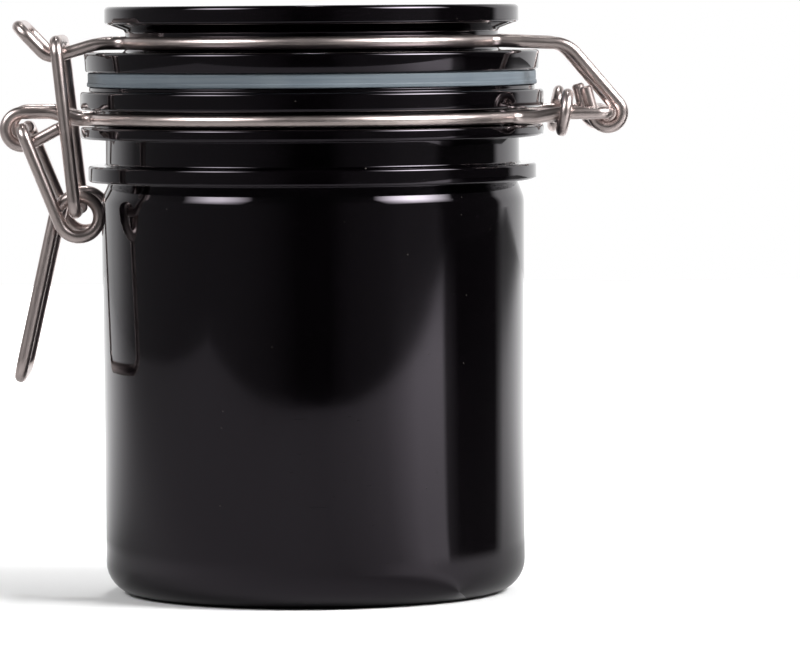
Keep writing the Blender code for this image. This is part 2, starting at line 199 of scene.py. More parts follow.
# Studio floor, in metres: (left, front, right, back); the front edge falls back to each side
FLOOR_EDGES = (-0.74, -0.575, 1.60, 1.3)
FLOOR_BOW_SLOPE = 0.19
FLOOR_BOW_START = 0.15
FLOOR_DROP = 0.00002
FLOOR_COLUMNS = 48
FLOOR_ROWS = 16

# Studio floor to the eye
PAPER_PALE = 0.90
PAPER_MOTTLE = 0.03
PAPER_MOTTLE_SCALE = 6.0
PAPER_GRAIN_SCALE = 900.0
PAPER_GRAIN_BUMP = (0.00005, 0.2)
PAPER_ROUGHNESS = (0.80, 0.95)
PAPER_SPECULAR = 0.1

# Painted reflection: the studio floor's colour as glossy rays see it, darker than the paper itself and
# painted
# # by bearing into light and dark bands, in degrees round BEARING_CENTRE from -Y, positive toward +X. The
# second
# # table holds inside the first CLOSE_REACH distance, in metres from the jar's axis, and fades out at the
# other.
PAINTED_REFLECTION_BY_BEARING = (
    (-180.0, 0.42), (-128.0, 0.38), (-112.0, 0.32), (-60.0, 0.30), (-20.0, 0.29), (0.0, 0.26),
    (20.0, 0.30), (36.0, 0.38), (47.0, 0.58), (56.0, 0.76), (73.0, 0.76), (76.0, 0.12), (85.0, 0.0),
    (117.0, 0.008), (126.0, 0.40), (180.0, 0.50),
)
PAINTED_CLOSE_REFLECTION_BY_BEARING = (
    (-180.0, 0.80), (-112.0, 0.48), (-60.0, 0.36), (-20.0, 0.27), (0.0, 0.24), (20.0, 0.32), (36.0, 0.50),
    (56.0, 0.62), (70.0, 0.50), (110.0, 0.36), (180.0, 0.36),
)
CLOSE_REACH = (0.115, 0.135)
BEARING_CENTRE = (0.030, -0.028, 0.0)

# Lights, in metres and watts: (name, place, (width, height), power)
SOFTBOXES = (
    ("softbox_left", (-0.86, -0.52, 0.84), (0.85, 0.75), 30.0),
    ("softbox_right", (0.90, -0.46, 0.84), (1.00, 0.85), 82.0),
)
SOFTBOX_TARGET = (0.0, 0.0, 0.09)
SOFTBOX_RIM = 0.42
FLOOR_SPOT_PLACE = (0.0, 0.95, 2.2)
FLOOR_SPOT_CONE_DEG = 48.0
FLOOR_SPOT_POWER = 600.0
FLOOR_SPOT_SOFT_EDGE = 0.6
FLOOR_SPOT_RADIUS = 0.15

# Surroundings by bearing: a white wall behind the canister, a dim room in front of it,
# and a dark ceiling that takes over between the two WALL_TOP heights
ROOM_BY_BEARING = (
    (-180.0, 1.0), (-145.0, 0.80), (-135.0, 0.65), (-125.0, 0.35), (-116.0, 0.14),
    (-75.0, 0.13), (-50.0, 0.12), (-36.0, 0.10), (-20.0, 0.055),
    (-8.0, 0.006), (8.0, 0.006), (20.0, 0.07), (40.0, 0.11), (50.0, 0.16), (70.0, 0.17), (76.0, 0.03),
    (120.0, 0.03), (126.0, 1.0), (180.0, 1.0),
)
WALL_BRIGHT = 1.15
WALL_TOP = (0.35, 0.75)
CEILING_BRIGHT = 0.02

# Black plastic; a RANGE is where a texture's value starts and ends its effect,
# a BUMP is (distance in metres, strength)
PLASTIC_TONES = ((0.0006, 0.0004, 0.0006), (0.0010, 0.0007, 0.0010))
PLASTIC_ROUGHNESS = (0.035, 0.075)
PLASTIC_SCRATCH_ROUGHNESS = 0.10
PLASTIC_SPECULAR_TINT = (0.97, 0.87, 1.0, 1.0)
PLASTIC_IOR = 1.5
HAZE_SCALE = 45.0
HAZE_RANGE = (0.35, 0.70)
SCRATCH_TURN = (0.5, 0.3, 0.9)
SCRATCH_STRETCH = (1.0, 22.0, 22.0)
SCRATCH_SCALE = 160.0
SCRATCH_RANGE = (0.73, 0.76)
SCRATCH_BUMP = (0.00001, 0.35)
WAVE_SCALE = 28.0
WAVE_BUMP = (0.00018, 0.35)
DUST_COLOR = (0.22, 0.20, 0.18)
DUST_SCALE = 420.0
DUST_SPECK_RANGE = (0.05, 0.09)
DUST_PATCH_SCALE = 190.0
DUST_PATCH_RANGE = (0.60, 0.64)
DUST_SLOPE_RANGE = (0.30, 0.80)
DUST_ON_WALLS = 0.12

# Drawn steel wire
STEEL_CLEAN = ((0.58, 0.495, 0.475), (0.69, 0.597, 0.575))
STEEL_STAIN_COLOR = (0.27, 0.215, 0.185)
STEEL_STAIN_MOST = 0.35
STEEL_ROUGHNESS = (0.27, 0.37)
STEEL_MOTTLE_ROUGHNESS = 0.08
STREAK_STRETCH = 0.012
STREAK_SCALE = 9.0
STREAK_RANGE = (0.30, 0.70)
STREAK_BUMP = (0.00002, 0.20)
MOTTLE_SCALE = 260.0
MOTTLE_ROUGH_RANGE = (0.50, 0.75)
STAIN_RANGE = (0.55, 0.85)
DENT_SCALE = 110.0
DENT_BUMP = (0.00008, 0.18)

# Silicone sealing ring
SILICONE_TONES = ((0.095, 0.118, 0.140), (0.125, 0.150, 0.172))
SILICONE_BLOOM_COLOR = (0.30, 0.33, 0.34)
SILICONE_BLOOM_MOST = 0.15
SILICONE_ROUGHNESS = (0.42, 0.60)
SILICONE_IOR = 1.41
CLOUD_SCALE = 70.0
CLOUD_ROUGH_RANGE = (0.30, 0.70)
BLOOM_RANGE = (0.50, 0.75)
BAND_SQUASH = (0.02, 0.02, 1.0)
BAND_SCALE = 2200.0
BAND_RANGE = (0.35, 0.65)
GRAIN_SCALE = 2600.0
GRAIN_BUMP = (0.00003, 0.40)


def at(side_point, y):
    """A point of the side view, given as (x, z), moved to this y."""
    return Vector((side_point[0], y, side_point[1]))


def corner_arc(before, corner, after, radius, step_deg):
    """Points of a bend of this radius between two straight runs."""
    to_before = (before - corner).normalized()
    to_after = (after - corner).normalized()
    opening = to_before.angle(to_after)
    if math.pi - opening < STRAIGHT_ENOUGH:
        return [corner]
    reach = radius / math.tan(opening / 2.0)
    centre = corner + (to_before + to_after).normalized() * (radius / math.sin(opening / 2.0))
    first = corner + to_before * reach - centre
    last = corner + to_after * reach - centre
    turn = math.pi - opening
    steps = max(2, math.ceil(math.degrees(turn) / step_deg))
    points = []
    for index in range(steps + 1):
        share = index / steps
        blend = first * math.sin((1.0 - share) * turn) + last * math.sin(share * turn)
        points.append(centre + blend / math.sin(turn))
    return points


def round_path(stops, step_deg):
    """Turn (point, bend radius) stops into a polyline; a zero radius keeps the point."""
    points = [stops[0][0]]
    for index in range(1, len(stops) - 1):
        corner, radius = stops[index]
        if radius > 0.0:
            points.extend(corner_arc(stops[index - 1][0], corner, stops[index + 1][0], radius, step_deg))
        else:
            points.append(corner)
    points.append(stops[-1][0])
    return points


def side_arc(centre, radius, start_deg, end_deg, y):
    """Stops on an arc in the XZ plane about a (x, z) centre."""
    steps = max(2, math.ceil(abs(end_deg - start_deg) / BEND_STEP_DEG))
    stops = []
    for index in range(steps + 1):
        angle = math.radians(start_deg + (end_deg - start_deg) * index / steps)
        point = Vector((centre[0] + radius * math.cos(angle), y, centre[1] + radius * math.sin(angle)))
        stops.append((point, 0.0))
    return stops


def tangent_direction_deg(start, centre, radius, centre_side):
    """Direction of the line from start that touches a circle on its left (+1) or right (-1)."""
    along = Vector((centre[0] - start[0], centre[1] - start[1]))
    toward = math.degrees(math.atan2(along.y, along.x))
    direction = toward - centre_side * math.degrees(math.asin(radius / along.length))
    return (direction + 180.0) % 360.0 - 180.0


def groove_exit(groove_r, leg_y, bend_r, z):
    """Groove angle where a leg's bend begins, and that bend's stops."""
    centre_y = -(leg_y + bend_r)
    centre_x = math.sqrt((groove_r + bend_r) ** 2 - centre_y ** 2)
    leave_deg = math.degrees(math.atan2(centre_y, centre_x))
    first_deg = leave_deg + 180.0
    steps = max(2, math.ceil((first_deg - 90.0) / BEND_STEP_DEG))
    stops = []
    for index in range(1, steps + 1):
        angle = math.radians(first_deg + (90.0 - first_deg) * index / steps)
        x = centre_x + bend_r * math.cos(angle)
        y = centre_y + bend_r * math.sin(angle)
        stops.append((Vector((x, y, z)), 0.0))
    return leave_deg, stops


def groove_arc(groove_r, z, start_deg, end_deg):
    """Stops around the jar's axis at one height."""
    steps = max(2, math.ceil(abs(end_deg - start_deg) / GROOVE_STEP_DEG))
    stops = []
    for index in range(steps + 1):
        angle = math.radians(start_deg + (end_deg - start_deg) * index / steps)
        stops.append((Vector((groove_r * math.cos(angle), groove_r * math.sin(angle), z)), 0.0))
    return stops


def other_end(stops):
    """The same stops turned end for end."""
    return list(reversed(stops))


def across_x(stops):
    """The same stops mirrored to the other side of the YZ plane."""
    return [(Vector((-point.x, point.y, point.z)), radius) for point, radius in stops]


def with_far_half(stops):
    """Join a front half to its mirror image behind the XZ plane."""
    return stops + [(Vector((point.x, -point.y, point.z)), radius) for point, radius in reversed(stops)]


def ring_frames(points):
    """One (tangent, side, up) frame per point, carried along without twist."""
    frames = []
    side = None
    for index, point in enumerate(points):
        ahead = points[min(index + 1, len(points) - 1)]
        behind = points[max(index - 1, 0)]
        tangent = (ahead - point).normalized() + (point - behind).normalized()
        tangent.normalize()
        if side is None:
            helper = Vector((0.0, 0.0, 1.0)) if abs(tangent.z) < NEARLY_UPRIGHT else Vector((0.0, 1.0, 0.0))
            side = tangent.cross(helper).normalized()
        side = (side - tangent * side.dot(tangent)).normalized()
        frames.append((tangent, side, tangent.cross(side)))
    return frames


def link_object(name, mesh):
    """Make an object of a bmesh, facing outward and smooth where it is round."""
    bmesh.ops.recalc_face_normals(mesh, faces=mesh.faces)
    data = bpy.data.meshes.new(name)
    mesh.to_mesh(data)
    mesh.free()
    item = bpy.data.objects.new(name, data)
    bpy.context.scene.collection.objects.link(item)
    data.shade_smooth()
    data.set_sharp_from_angle(angle=math.radians(SMOOTH_DEG))
    return item


def wire_mesh(name, points, radius):
    """Closed round wire along a polyline; its UV map runs round the wire and along it in millimetres."""
    clean = [points[0]]
    for point in points[1:]:
        if (point - clean[-1]).length > CLOSEST_POINTS:
            clean.append(point)
    frames = ring_frames(clean)
    chamfer = WIRE_END_CHAMFER
    first_full = clean[0] + frames[0][0] * chamfer
    last_full = clean[-1] - frames[-1][0] * chamfer
    sections = [(clean[0], frames[0], radius - chamfer), (first_full, frames[0], radius)]
    sections += [(point, frame_at, radius) for point, frame_at in zip(clean[1:-1], frames[1:-1])]
    sections += [(last_full, frames[-1], radius), (clean[-1], frames[-1], radius - chamfer)]
    mesh = bmesh.new()
    uv_layer = mesh.loops.layers.uv.new("wire")
    rings = []
    lengths = []
    travelled = 0.0
    before = sections[0][0]
    for centre, (_, side, up), section_r in sections:
        travelled += (centre - before).length
        before = centre
        lengths.append(travelled)
        ring = []
        for index in range(WIRE_SIDES):
            angle = 2.0 * math.pi * index / WIRE_SIDES
            offset = side * (section_r * math.cos(angle)) + up * (section_r * math.sin(angle))
            ring.append(mesh.verts.new((centre + offset) * MM))
        rings.append(ring)
    for row in range(len(rings) - 1):
        for index in range(WIRE_SIDES):
            after = (index + 1) % WIRE_SIDES
            near, far = rings[row], rings[row + 1]
            face = mesh.faces.new((near[index], near[after], far[after], far[index]))
            around = (index, index + 1, index + 1, index)
            along = (row, row, row + 1, row + 1)
            for loop, turn, step in zip(face.loops, around, along):
                loop[uv_layer].uv = (turn / WIRE_SIDES, lengths[step])
    mesh.faces.new(list(reversed(rings[0])))
    mesh.faces.new(rings[-1])
    return link_object(name, mesh)


def lathe_mesh(name, profile, closed):
    """Turn a (radius, z) profile about the Z axis; open profiles start and end on the axis."""
    mesh = bmesh.new()
    rings = []
    for radius, z in profile:
        if radius < ON_AXIS_R:
            rings.append([mesh.verts.new((0.0, 0.0, z * MM))])
            continue
        ring = []
        for index in range(LATHE_SEGMENTS):
            angle = 2.0 * math.pi * index / LATHE_SEGMENTS
            place = (radius * math.cos(angle) * MM, radius * math.sin(angle) * MM, z * MM)
            ring.append(mesh.verts.new(place))
        rings.append(ring)
    pairs = list(zip(rings, rings[1:]))
    if closed:
        pairs.append((rings[-1], rings[0]))
    for first, second in pairs:
        for index in range(LATHE_SEGMENTS):
            after = (index + 1) % LATHE_SEGMENTS
            if len(first) == 1:
                mesh.faces.new((first[0], second[index], second[after]))
            elif len(second) == 1:
                mesh.faces.new((first[index], second[0], first[after]))
            else:
                mesh.faces.new((first[index], second[index], second[after], first[after]))
    return link_object(name, mesh)


def turned_profile(corners):
    """Round the corners of a turned outline; each entry is (radius, z, corner radius).

    A long straight run gets a point close to each end, so that it shades flat up to its bends.
    """
    stops = [(Vector((r, 0.0, z)), bend) for r, z, bend in corners]
    points = round_path(stops, PROFILE_STEP_DEG)
    outline = [points[0]]
    for before, point in zip(points, points[1:]):
        if (point - before).length > LONG_RUN:
            inset = (point - before).normalized() * RUN_SUPPORT
            outline += [before + inset, point - inset]
        outline.append(point)
    return [(point.x, point.z) for point in outline]


def make_jar():
    """Jar with base recess, shoulder, collar and the two rings that guide the neck wire."""
    corners = [
        (0.0, BASE_RECESS_DEPTH + GATE_DEPTH, 0.0),
        (GATE_R - GATE_DEPTH, BASE_RECESS_DEPTH + GATE_DEPTH, GATE_FILLET),
        (GATE_R, BASE_RECESS_DEPTH, GATE_FILLET),
        (BASE_RECESS_R - BASE_RECESS_DEPTH, BASE_RECESS_DEPTH, BASE_RECESS_FILLET),
        (BASE_RECESS_R, 0.0, INNER_FILLET),
        (BODY_FOOT_R, 0.0, BASE_ROUND),
        (BODY_TOP_R, SHOULDER_LOW_Z, SHOULDER_BEND_R),
        (SHOULDER_TOP_R, COLLAR_LOW_Z, INNER_FILLET),
        (COLLAR_R, COLLAR_LOW_Z, COLLAR_LOW_FILLET),
        (COLLAR_R, COLLAR_TOP_Z, OUTER_FILLET),
        (NECK_R, COLLAR_TOP_Z, OUTER_FILLET),
        (NECK_R, LOWER_RING_LOW_Z, INNER_FILLET),
        (RING_R, LOWER_RING_LOW_Z, OUTER_FILLET),
        (RING_R, LOWER_RING_TOP_Z, OUTER_FILLET),
        (GROOVE_R, LOWER_RING_TOP_Z, INNER_FILLET),
        (GROOVE_R, UPPER_RING_LOW_Z, INNER_FILLET),
        (RING_R, UPPER_RING_LOW_Z, OUTER_FILLET),
        (RING_R, UPPER_RING_TOP_Z, OUTER_FILLET),
        (RIM_R, UPPER_RING_TOP_Z, INNER_FILLET),
        (RIM_R, RIM_Z, INNER_FILLET),
        (MOUTH_R, RIM_Z, MOUTH_FILLET),
        (MOUTH_R, COLLAR_LOW_Z, INSIDE_FILLET),
        (BODY_INNER_R, INNER_SHOULDER_LOW_Z, INSIDE_FILLET),
        (BODY_INNER_R, FLOOR_Z, FLOOR_ROUND),
        (0.0, FLOOR_Z, 0.0),
    ]
    return lathe_mesh("jar_visual", turned_profile(corners), False)


def make_lid():
    """Lid with a top disc, a waist for the wire, a flange and a hollow plug."""
    corners = [
        (0.0, LID_ROOF_Z, 0.0),
        (LID_RECESS_R, LID_ROOF_Z, LID_RECESS_FILLET),
        (LID_RECESS_R, PLUG_LOW_Z, PLUG_LOW_FILLET),
        (PLUG_R, PLUG_LOW_Z, OUTER_FILLET),
        (PLUG_R, FLANGE_LOW_Z, PLUG_ROOT_FILLET),
        (FLANGE_LOW_R, FLANGE_LOW_Z, FLANGE_LOW_FILLET),
        (FLANGE_TOP_R, FLANGE_TOP_Z, FLANGE_TOP_FILLET),
        (WAIST_R, FLANGE_TOP_Z, FLANGE_TOP_FILLET),
        (WAIST_R, WAIST_TOP_Z, WAIST_TOP_FILLET),
        (LID_TOP_R, LID_TOP_LOW_Z, OUTER_FILLET),
        (LID_TOP_R, LID_TOP_Z, LID_TOP_FILLET),
        (0.0, LID_TOP_Z, 0.0),
    ]
    return lathe_mesh("lid_visual", turned_profile(corners), False)


def make_gasket():
    """Silicone ring with a thin lip along its lower edge."""
    face_r = GASKET_R - GASKET_LIP
    corners = [
        (GASKET_INNER_R + GASKET_SEAM_INSET, GASKET_LOW_Z, 0.0),
        (GASKET_R, GASKET_LOW_Z, GASKET_LOW_FILLET),
        (GASKET_R, GASKET_LOW_Z + GASKET_LIP_LOW, GASKET_FILLET),
        (face_r, GASKET_LOW_Z + GASKET_LIP_HIGH, GASKET_STEP_FILLET),
        (face_r, GASKET_TOP_Z, GASKET_TOP_FILLET),
        (GASKET_INNER_R, GASKET_TOP_Z, GASKET_FILLET),
        (GASKET_INNER_R, GASKET_LOW_Z, GASKET_FILLET),
        (GASKET_INNER_R + GASKET_SEAM_INSET, GASKET_LOW_Z, 0.0),
    ]
    return lathe_mesh("gasket_visual", turned_profile(corners)[:-1], True)


def make_neck_wire():
    """Wire in the jar's groove, with two curls for the lever and the U loop of the hinge."""
    y = -CURL_Y
    entry_deg = tangent_direction_deg(CURL_TAIL_END, LEVER_PIVOT, CURL_R, -1)
    stops = [(at(CURL_TAIL_END, y), 0.0)]
    stops += side_arc(LEVER_PIVOT, CURL_R, entry_deg + 90.0, -270.0, y)
    stops.append((at((LATCH_STRAND_STEP[0], LEVER_PIVOT[1] + CURL_R), y), STRAND_BEND_R))
    stops.append((at((LATCH_STRAND_STEP[1], NECK_WIRE_Z), y), STRAND_BEND_R))
    latch_deg, latch_bend = groove_exit(NECK_WIRE_R, CURL_Y, GROOVE_BEND_R, NECK_WIRE_Z)
    hinge_deg, hinge_bend = groove_exit(NECK_WIRE_R, HINGE_LEG_Y, GROOVE_BEND_R, NECK_WIRE_Z)
    stops += other_end(across_x(latch_bend))
    stops += groove_arc(NECK_WIRE_R, NECK_WIRE_Z, -180.0 - latch_deg, hinge_deg)
    stops += hinge_bend
    stops.append((Vector((HINGE_LEG_RISE[0], -HINGE_LEG_Y, NECK_WIRE_Z)), STRAND_BEND_R))
    stops.append((Vector((HINGE_LEG_RISE[1], -HINGE_LEG_Y, HINGE[1])), STRAND_BEND_R))
    stops.append((at(HINGE, -HINGE_LEG_Y), HINGE_CORNER_R))
    return wire_mesh("neck_wire_visual", round_path(with_far_half(stops), BEND_STEP_DEG), WIRE_R)


def eye_point(turn_deg):
    """Point on the front eye of the tie; 0 degrees is its side nearest the jar's middle plane."""
    angle = math.radians(turn_deg)
    lean = math.radians(EYE_LEAN_DEG)
    upward = EYE_R * math.sin(angle)
    x = EYE_X + upward * math.sin(lean)
    return Vector((x, -HINGE_LEG_Y + EYE_R * math.cos(angle), EYE_Z + upward * math.cos(lean)))


def make_neck_tie():
    """Short wire behind the groove whose ends are eyes around the hinge loop's legs."""
    steps = math.ceil(EYE_TURN_DEG / BEND_STEP_DEG)
    stops = []
    for index in range(steps + 1):
        stops.append((eye_point(EYE_START_DEG + EYE_TURN_DEG * (index / steps - 1.0)), 0.0))
    leaving = (eye_point(EYE_START_DEG) - eye_point(EYE_START_DEG - EYE_TANGENT_STEP_DEG)).normalized()
    corner = eye_point(EYE_START_DEG) + leaving * (EYE_BEND_R + EYE_LEAD)
    corner.z = NECK_WIRE_Z
    stops.append((corner, EYE_BEND_R))
    leave_deg, bend = groove_exit(NECK_WIRE_R, TIE_LEG_Y, TIE_BEND_R, NECK_WIRE_Z)
    stops += other_end(bend)
    stops += groove_arc(NECK_WIRE_R, NECK_WIRE_Z, leave_deg, -GROOVE_STEP_DEG / 2.0)
    return wire_mesh("neck_tie_visual", round_path(with_far_half(stops), BEND_STEP_DEG), TIE_WIRE_R)


def make_lid_wire():
    """Wire around the lid's waist, with two J hooks and the latch hook."""
    y = -J_HOOK_Y
    drop_deg = tangent_direction_deg(LID_WIRE_DROP, HINGE, J_HOOK_R, -1)
    hook = side_arc(HINGE, J_HOOK_R, drop_deg + 90.0, J_TAIL_DIRECTION_DEG + 90.0 - 360.0, y)
    tail_angle = math.radians(J_TAIL_DIRECTION_DEG)
    tail = Vector((math.cos(tail_angle), 0.0, math.sin(tail_angle))) * J_TAIL_LENGTH
    stops = [(hook[-1][0] + tail, 0.0)]
    stops += other_end(hook)
    stops.append((at(LID_WIRE_DROP, y), LID_WIRE_DROP_BEND_R))
    hinge_deg, hinge_bend = groove_exit(LID_WIRE_R, J_HOOK_Y, GROOVE_BEND_R, LID_WIRE_Z)
    latch_deg, latch_bend = groove_exit(LID_WIRE_R, HOOK_Y, GROOVE_BEND_R, LID_WIRE_Z)
    stops += other_end(hinge_bend)
    stops += groove_arc(LID_WIRE_R, LID_WIRE_Z, hinge_deg, -180.0 - latch_deg)
    stops += across_x(latch_bend)
    stops.append((Vector((HOOK_RAMP_X, -HOOK_Y, LID_WIRE_Z)), HOOK_RAMP_BEND_R))
    stops.append((at(HOOK_SADDLE, -HOOK_Y), HOOK_SADDLE_BEND_R))
    stops.append((at(HOOK_TIP, -HOOK_Y), HOOK_TIP_BEND_R))
    return wire_mesh("lid_wire_visual", round_path(with_far_half(stops), BEND_STEP_DEG), WIRE_R)


def coil_stops():
    """Stops of the front coil, from the leg that comes down to the handle's leg."""
    entry_deg = tangent_direction_deg(LEVER_PIVOT, COIL_CENTRE, COIL_R, 1) - 90.0
    exit_deg = HANDLE_DIRECTION_DEG - 90.0
    turn = math.radians(COIL_EXIT_START_DEG)
    grow = COIL_EXIT_R - COIL_R
    exit_centre = (COIL_CENTRE[0] - grow * math.cos(turn), COIL_CENTRE[1] - grow * math.sin(turn))
    stops = side_arc(COIL_CENTRE, COIL_R, entry_deg, COIL_EXIT_START_DEG, 0.0)
    stops += side_arc(exit_centre, COIL_EXIT_R, COIL_EXIT_START_DEG, exit_deg, 0.0)[1:]
    for index, (point, _) in enumerate(stops):
        share = min(1.0, max(0.0, (index / (len(stops) - 1) - COIL_DRIFT_START) / COIL_DRIFT_SPAN))
        ease = share * share * (3.0 - 2.0 * share)
        point.y = -LEVER_LEG_Y + (LEVER_LEG_Y - HANDLE_LEG_Y) * ease
    return stops


def make_lever():
    """Lever wire: stubs in the neck wire's curls, a coil on each side and the thumb loop."""
    coil = coil_stops()
    exit_point = coil[-1][0]
    slope = 1.0 / math.tan(math.radians(HANDLE_DIRECTION_DEG))
    end_x = exit_point.x + (HANDLE_END_Z - exit_point.z) * slope
    stops = [(at(LEVER_PIVOT, -LEVER_STUB_END_Y), 0.0), (at(LEVER_PIVOT, -LEVER_LEG_Y), LEVER_CORNER_R)]
    stops += coil
    stops.append((Vector((end_x, -HANDLE_LEG_Y, HANDLE_END_Z)), HANDLE_CORNER_R))
    return wire_mesh("clasp_lever_visual", round_path(with_far_half(stops), BEND_STEP_DEG), WIRE_R)


def make_link():
    """Link wire: stubs in the lever's coils and a bar over the lid wire's hook."""
    foot = (COIL_CENTRE[0] + LINK_STUB_OFFSET[0], COIL_CENTRE[1] + LINK_STUB_OFFSET[1])
    stops = [
        (at(foot, -LINK_STUB_END_Y), 0.0),
        (at(foot, -LINK_FOOT_Y), LINK_FOOT_BEND_R),
        (at(LINK_BAR, -LINK_BAR_Y), LINK_BAR_BEND_R),
    ]
    return wire_mesh("clasp_link_visual", round_path(with_far_half(stops), BEND_STEP_DEG), WIRE_R)


def new_material(name):
    """Empty node material with its shader; returns material, nodes, links and shader."""
    material = bpy.data.materials.new(name)
    material.use_nodes = True
    nodes = material.node_tree.nodes
    return material, nodes, material.node_tree.links, nodes["Principled BSDF"]


def noise(nodes, links, vector, scale, detail, roughness=0.5):
    """Noise texture fed by a vector socket."""
    node = nodes.new("ShaderNodeTexNoise")
    node.inputs["Scale"].default_value = scale
    node.inputs["Detail"].default_value = detail
    node.inputs["Roughness"].default_value = roughness
    links.new(vector, node.inputs["Vector"])
    return node.outputs["Fac"]


def remap(nodes, links, value, low, high, to_low, to_high):
    """Clamped linear remap of a value socket."""
    node = nodes.new("ShaderNodeMapRange")
    node.clamp = True
    node.inputs["From Min"].default_value = low
    node.inputs["From Max"].default_value = high
    node.inputs["To Min"].default_value = to_low
    node.inputs["To Max"].default_value = to_high
    links.new(value, node.inputs["Value"])
    return node.outputs["Result"]


def math_node(nodes, links, operation, first, second):
    """Math node; each operand is a socket or a number."""
    node = nodes.new("ShaderNodeMath")
    node.operation = operation
    for socket, operand in zip(node.inputs, (first, second)):
        if isinstance(operand, (int, float)):
            socket.default_value = operand
        else:
            links.new(operand, socket)
    return node.outputs["Value"]


def mix_color(nodes, links, share, first, second):
    """Blend from the first colour to the second by a value socket."""
    node = nodes.new("ShaderNodeMix")
    node.data_type = "RGBA"
    for socket, operand in ((node.inputs[6], first), (node.inputs[7], second)):
        if isinstance(operand, tuple):
            socket.default_value = (*operand, 1.0)
        else:
            links.new(operand, socket)
    links.new(share, node.inputs[0])
    return node.outputs[2]


def bump(nodes, links, height, distance, strength, normal=None):
    """Bump node, chained on another normal when one is given."""
    node = nodes.new("ShaderNodeBump")
    node.inputs["Distance"].default_value = distance
    node.inputs["Strength"].default_value = strength
    links.new(height, node.inputs["Height"])
    if normal is not None:
        links.new(normal, node.inputs["Normal"])
    return node.outputs["Normal"]


def plastic_material(name, seed):
    """Polished black moulding: slight flow waviness, hairline scratches, haze and a little dust on top."""
    material, nodes, links, shader = new_material(name)
    coords = nodes.new("ShaderNodeTexCoord")
    shift = nodes.new("ShaderNodeMapping")
    shift.inputs["Location"].default_value = (seed, seed * 0.7, seed * 0.3)
    links.new(coords.outputs["Object"], shift.inputs["Vector"])
    place = shift.outputs["Vector"]

    haze = noise(nodes, links, place, HAZE_SCALE, 3.0)
    roughness = remap(nodes, links, haze, *HAZE_RANGE, *PLASTIC_ROUGHNESS)

    stretch = nodes.new("ShaderNodeMapping")
    stretch.inputs["Rotation"].default_value = SCRATCH_TURN
    stretch.inputs["Scale"].default_value = SCRATCH_STRETCH
    links.new(place, stretch.inputs["Vector"])
    hair = noise(nodes, links, stretch.outputs["Vector"], SCRATCH_SCALE, 2.0)
    scratch = remap(nodes, links, hair, *SCRATCH_RANGE, 0.0, 1.0)
    scored = math_node(nodes, links, "MULTIPLY", scratch, PLASTIC_SCRATCH_ROUGHNESS)
    roughness = math_node(nodes, links, "ADD", roughness, scored)
    links.new(roughness, shader.inputs["Roughness"])

    speck = nodes.new("ShaderNodeTexVoronoi")
    speck.inputs["Scale"].default_value = DUST_SCALE
    links.new(place, speck.inputs["Vector"])
    near = remap(nodes, links, speck.outputs["Distance"], *DUST_SPECK_RANGE, 1.0, 0.0)
    spread = noise(nodes, links, place, DUST_PATCH_SCALE, 1.0)
    patch = remap(nodes, links, spread, *DUST_PATCH_RANGE, 0.0, 1.0)
    facing = nodes.new("ShaderNodeSeparateXYZ")
    links.new(coords.outputs["Normal"], facing.inputs["Vector"])
    upward = remap(nodes, links, facing.outputs["Z"], *DUST_SLOPE_RANGE, DUST_ON_WALLS, 1.0)
    specks = math_node(nodes, links, "MULTIPLY", near, patch)
    dust = math_node(nodes, links, "MULTIPLY", specks, upward)
    tone = mix_color(nodes, links, haze, *PLASTIC_TONES)
    color = mix_color(nodes, links, dust, tone, DUST_COLOR)
    links.new(color, shader.inputs["Base Color"])

    wave = bump(nodes, links, noise(nodes, links, place, WAVE_SCALE, 1.0), *WAVE_BUMP)
    fine = bump(nodes, links, scratch, *SCRATCH_BUMP, wave)
    links.new(fine, shader.inputs["Normal"])
    shader.inputs["IOR"].default_value = PLASTIC_IOR
    shader.inputs["Specular Tint"].default_value = PLASTIC_SPECULAR_TINT
    return material


def steel_material(name, seed):
    """Drawn stainless wire: streaks along its length, soft dents and darker handling marks."""
    material, nodes, links, shader = new_material(name)
    uv = nodes.new("ShaderNodeUVMap")
    uv.uv_map = "wire"
    split = nodes.new("ShaderNodeSeparateXYZ")
    links.new(uv.outputs["UV"], split.inputs["Vector"])
    turn = math_node(nodes, links, "MULTIPLY", split.outputs["X"], 2.0 * math.pi)
    across = math_node(nodes, links, "COSINE", turn, 0.0)
    upward = math_node(nodes, links, "SINE", turn, 0.0)
    along = math_node(nodes, links, "MULTIPLY", split.outputs["Y"], STREAK_STRETCH)
    wrapped = nodes.new("ShaderNodeCombineXYZ")
    links.new(across, wrapped.inputs["X"])
    links.new(upward, wrapped.inputs["Y"])
    links.new(math_node(nodes, links, "ADD", along, seed), wrapped.inputs["Z"])
    streak_place = wrapped.outputs["Vector"]
    streak = noise(nodes, links, streak_place, STREAK_SCALE, 5.0, 0.65)

    coords = nodes.new("ShaderNodeTexCoord")
    mottle = noise(nodes, links, coords.outputs["Object"], MOTTLE_SCALE, 4.0)
    soft = noise(nodes, links, coords.outputs["Object"], DENT_SCALE, 2.0)

    drawn_rough = remap(nodes, links, streak, *STREAK_RANGE, *STEEL_ROUGHNESS)
    worn_rough = remap(nodes, links, mottle, *MOTTLE_ROUGH_RANGE, 0.0, STEEL_MOTTLE_ROUGHNESS)
    links.new(math_node(nodes, links, "ADD", drawn_rough, worn_rough), shader.inputs["Roughness"])

    clean = mix_color(nodes, links, remap(nodes, links, streak, *STREAK_RANGE, 0.0, 1.0), *STEEL_CLEAN)
    stain = remap(nodes, links, mottle, *STAIN_RANGE, 0.0, STEEL_STAIN_MOST)
    color = mix_color(nodes, links, stain, clean, STEEL_STAIN_COLOR)
    links.new(color, shader.inputs["Base Color"])
    shader.inputs["Metallic"].default_value = 1.0

    drawn = bump(nodes, links, streak, *STREAK_BUMP)
    dented = bump(nodes, links, soft, *DENT_BUMP, drawn)
    links.new(dented, shader.inputs["Normal"])
    return material


